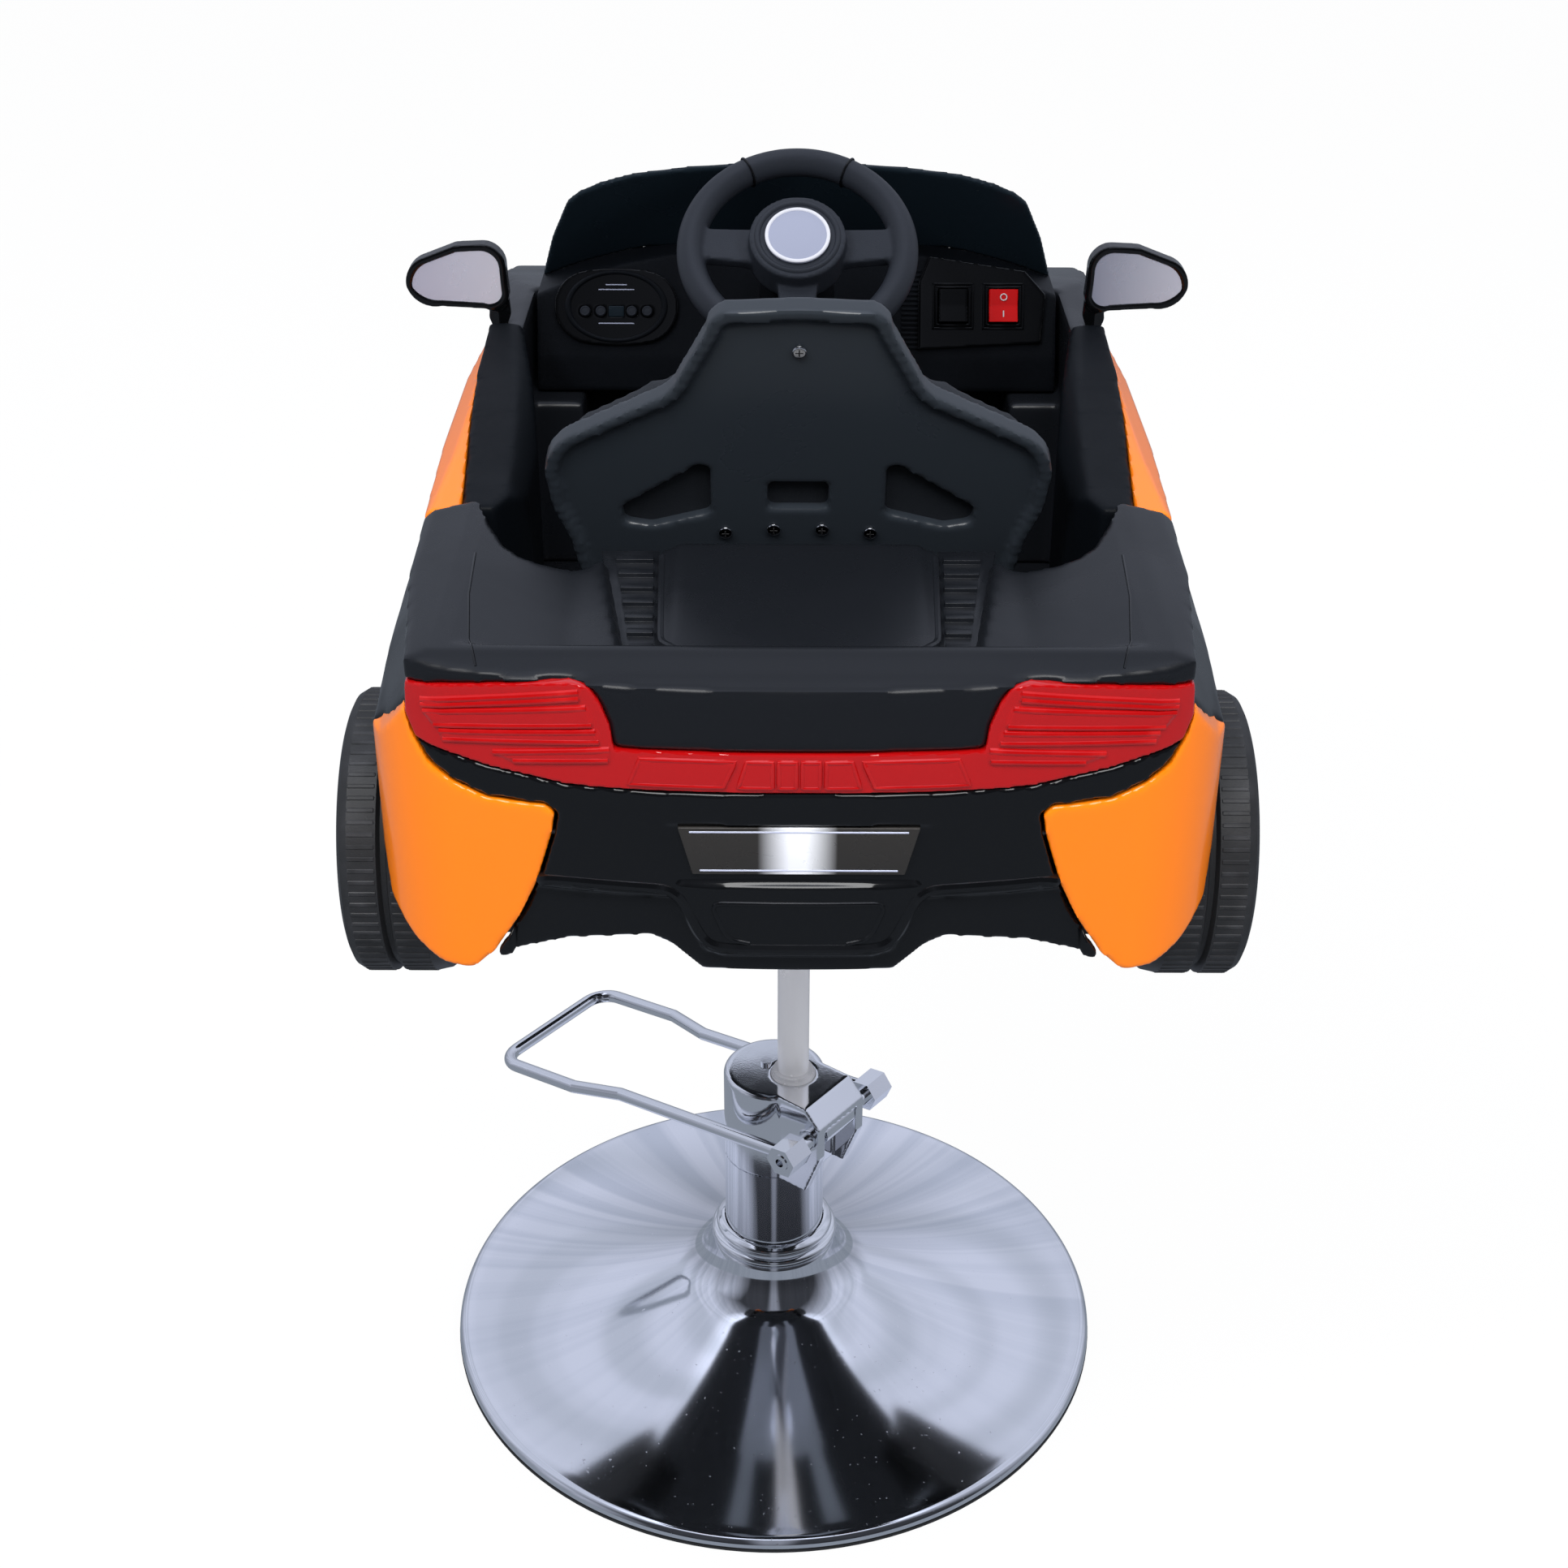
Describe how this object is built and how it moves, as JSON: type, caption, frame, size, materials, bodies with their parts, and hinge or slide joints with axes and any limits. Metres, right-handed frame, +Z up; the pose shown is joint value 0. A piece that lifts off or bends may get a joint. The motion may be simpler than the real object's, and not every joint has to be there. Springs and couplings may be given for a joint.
{
  "type": "child's car barber chair",
  "caption": "Child's ride-on car body with seat, doors and steering wheel, carried on a foot-pumped hydraulic barber chair column with a round trumpet base.",
  "frame": {"origin": "on the floor below the centre line of the lifting ram", "axes": "+Z up, +Y towards the car's bonnet, +X to the car's right"},
  "size_m": [0.6369, 1.0592, 1.0689],
  "materials": {
    "bright_chrome": "polished",
    "grey_iron": "rough painted",
    "floor_rubber": "matte",
    "plain_steel": "plain",
    "painted_steel": "satin",
    "black_gloss": "glossy",
    "black_plastic": "fine grained",
    "orange_plastic": "satin",
    "red_lens": "glossy, lightly clear",
    "clear_lens": "glossy",
    "plate_silver": "satin",
    "seat_vinyl": "soft vinyl",
    "dash_plastic": "fine grained",
    "button_grey": "satin",
    "red_rocker": "glossy",
    "mirror_silver": "mirror",
    "badge_silver": "satin",
    "wheel_plastic": "satin"
  },
  "bodies": {
    "pump_stand": {"base_cover": "bright_chrome", "base_plate": "grey_iron", "floor_ring": "floor_rubber", "pump_tube": "bright_chrome", "neck_collar": "bright_chrome", "pump_head": "bright_chrome", "pump_barrel": "plain_steel", "ram_seal": "floor_rubber", "filler_screw": "plain_steel"},
    "pump_pedal": {"pedal_shaft": "plain_steel", "pedal_bar": "bright_chrome"},
    "ram": {"ram_rod": "bright_chrome"},
    "car": {"ram_socket": "painted_steel", "mount_frame": "painted_steel", "body_shell": "black_gloss", "floor_pan": "black_plastic", "tail_light": "red_lens", "corner_panel_left": "orange_plastic", "corner_panel_right": "orange_plastic", "rear_bumper": "black_gloss", "number_plate": "plate_silver", "deck_vents": "black_plastic", "front_bumper": "orange_plastic", "headlights": "clear_lens", "door_pins": "plain_steel", "seat_shell": "black_plastic", "seat_cushion": "seat_vinyl", "seat_back_pad": "seat_vinyl", "seat_screws": "plain_steel", "dashboard": "dash_plastic", "music_panel": "black_plastic", "switch_panel": "black_plastic", "windscreen": "black_gloss", "rear_axle": "plain_steel"},
    "left_door": {"door_panel_left": "orange_plastic", "door_lining_left": "black_plastic"},
    "right_door": {"door_panel_right": "orange_plastic", "door_lining_right": "black_plastic"},
    "left_mirror": {"mirror_left": "black_gloss", "mirror_glass_left": "mirror_silver"},
    "right_mirror": {"mirror_right": "black_gloss", "mirror_glass_right": "mirror_silver"},
    "steering": {"steering_wheel": "dash_plastic", "steering_badge": "badge_silver", "steering_shaft": "plain_steel"},
    "tie_bar": {"tie_rod": "painted_steel"},
    "left_knuckle": {"knuckle_left": "plain_steel"},
    "right_knuckle": {"knuckle_right": "plain_steel"},
    "rear_right_wheel": {"wheel_rear_right": "wheel_plastic"},
    "rear_left_wheel": {"wheel_rear_left": "wheel_plastic"},
    "front_right_wheel": {"wheel_front_right": "wheel_plastic"},
    "front_left_wheel": {"wheel_front_left": "wheel_plastic"},
    "direction_rocker": {"rocker_direction": "black_gloss"},
    "power_rocker": {"rocker_power": "red_rocker"},
    "gas_pedal": {"foot_pedal": "black_plastic"},
    "button_1": {"music_button_1": "button_grey"},
    "button_2": {"music_button_2": "button_grey"},
    "button_3": {"music_button_3": "button_grey"},
    "button_4": {"music_button_4": "button_grey"}
  },
  "joints": [
    {"name": "ram_lift", "type": "slide", "parent": "pump_stand", "child": "ram", "axis": [0, 0, 1], "range_m": [-0.1, 0.04]},
    {"name": "seat_swivel", "type": "hinge", "parent": "ram", "child": "car", "pos_m": [0, 0, 0.6], "axis": [0, 0, 1], "continuous": true},
    {"name": "pump_pedal_hinge", "type": "hinge", "parent": "pump_stand", "child": "pump_pedal", "pos_m": [0.03343, -0.0314, 0.256], "axis": [-0.6157, -0.788, 0], "range_deg": [0, 16], "stiffness_Nm_per_rad": 20, "springref_deg": -8.59},
    {"name": "left_door_hinge", "type": "hinge", "parent": "car", "child": "left_door", "pos_m": [-0.258, 0.142, 0.791], "axis": [0, 0, -1], "range_deg": [0, 55]},
    {"name": "right_door_hinge", "type": "hinge", "parent": "car", "child": "right_door", "pos_m": [0.258, 0.142, 0.791], "axis": [0, 0, 1], "range_deg": [0, 55]},
    {"name": "left_mirror_fold", "type": "hinge", "parent": "car", "child": "left_mirror", "pos_m": [-0.24301, 0.168, 0.921], "axis": [0, 0, 1], "range_deg": [-20, 60]},
    {"name": "right_mirror_fold", "type": "hinge", "parent": "car", "child": "right_mirror", "pos_m": [0.24301, 0.168, 0.921], "axis": [0, 0, -1], "range_deg": [-20, 60]},
    {"name": "steering_turn", "type": "hinge", "parent": "car", "child": "steering", "pos_m": [0, 0.115, 1.002], "axis": [0, -0.6157, 0.788], "range_deg": [-18, 18]},
    {"name": "tie_bar_shift", "type": "slide", "parent": "car", "child": "tie_bar", "axis": [1, 0, 0], "range_m": [-0.0087, 0.0087]},
    {"name": "left_knuckle_turn", "type": "hinge", "parent": "car", "child": "left_knuckle", "pos_m": [-0.176, 0.3, 0.727], "axis": [0, 0, 1], "range_deg": [-16.5, 16.5]},
    {"name": "right_knuckle_turn", "type": "hinge", "parent": "car", "child": "right_knuckle", "pos_m": [0.176, 0.3, 0.727], "axis": [0, 0, 1], "range_deg": [-16.5, 16.5]},
    {"name": "rear_left_spin", "type": "hinge", "parent": "car", "child": "rear_left_wheel", "pos_m": [-0.263, -0.31, 0.727], "axis": [1, 0, 0], "continuous": true},
    {"name": "front_left_spin", "type": "hinge", "parent": "left_knuckle", "child": "front_left_wheel", "pos_m": [-0.263, 0.3, 0.727], "axis": [1, 0, 0], "continuous": true},
    {"name": "rear_right_spin", "type": "hinge", "parent": "car", "child": "rear_right_wheel", "pos_m": [0.263, -0.31, 0.727], "axis": [1, 0, 0], "continuous": true},
    {"name": "front_right_spin", "type": "hinge", "parent": "right_knuckle", "child": "front_right_wheel", "pos_m": [0.263, 0.3, 0.727], "axis": [1, 0, 0], "continuous": true},
    {"name": "direction_rock", "type": "hinge", "parent": "car", "child": "direction_rocker", "pos_m": [0.131, 0.21423, 0.92446], "axis": [1, 0, 0], "range_deg": [-8, 8]},
    {"name": "power_rock", "type": "hinge", "parent": "car", "child": "power_rocker", "pos_m": [0.173, 0.21423, 0.92446], "axis": [1, 0, 0], "range_deg": [-8, 8]},
    {"name": "button_1_press", "type": "slide", "parent": "car", "child": "button_1", "axis": [0, 0.8944, -0.4472], "range_m": [0, 0.0015], "stiffness_N_per_m": 300, "springref_m": -0.002},
    {"name": "button_2_press", "type": "slide", "parent": "car", "child": "button_2", "axis": [0, 0.8944, -0.4472], "range_m": [0, 0.0015], "stiffness_N_per_m": 300, "springref_m": -0.002},
    {"name": "button_3_press", "type": "slide", "parent": "car", "child": "button_3", "axis": [0, 0.8944, -0.4472], "range_m": [0, 0.0015], "stiffness_N_per_m": 300, "springref_m": -0.002},
    {"name": "button_4_press", "type": "slide", "parent": "car", "child": "button_4", "axis": [0, 0.8944, -0.4472], "range_m": [0, 0.0015], "stiffness_N_per_m": 300, "springref_m": -0.002},
    {"name": "gas_pedal_hinge", "type": "hinge", "parent": "car", "child": "gas_pedal", "pos_m": [0.08, 0.176, 0.721], "axis": [-1, 0, 0], "range_deg": [0, 12], "stiffness_Nm_per_rad": 2, "springref_deg": -11.46}
  ],
  "couplings": [
    {"joint": "tie_bar_shift", "follows": "steering_turn", "m_per_rad": 0.026},
    {"joint": "left_knuckle_turn", "follows": "steering_turn", "ratio": 0.8667},
    {"joint": "right_knuckle_turn", "follows": "steering_turn", "ratio": 0.8667}
  ]
}
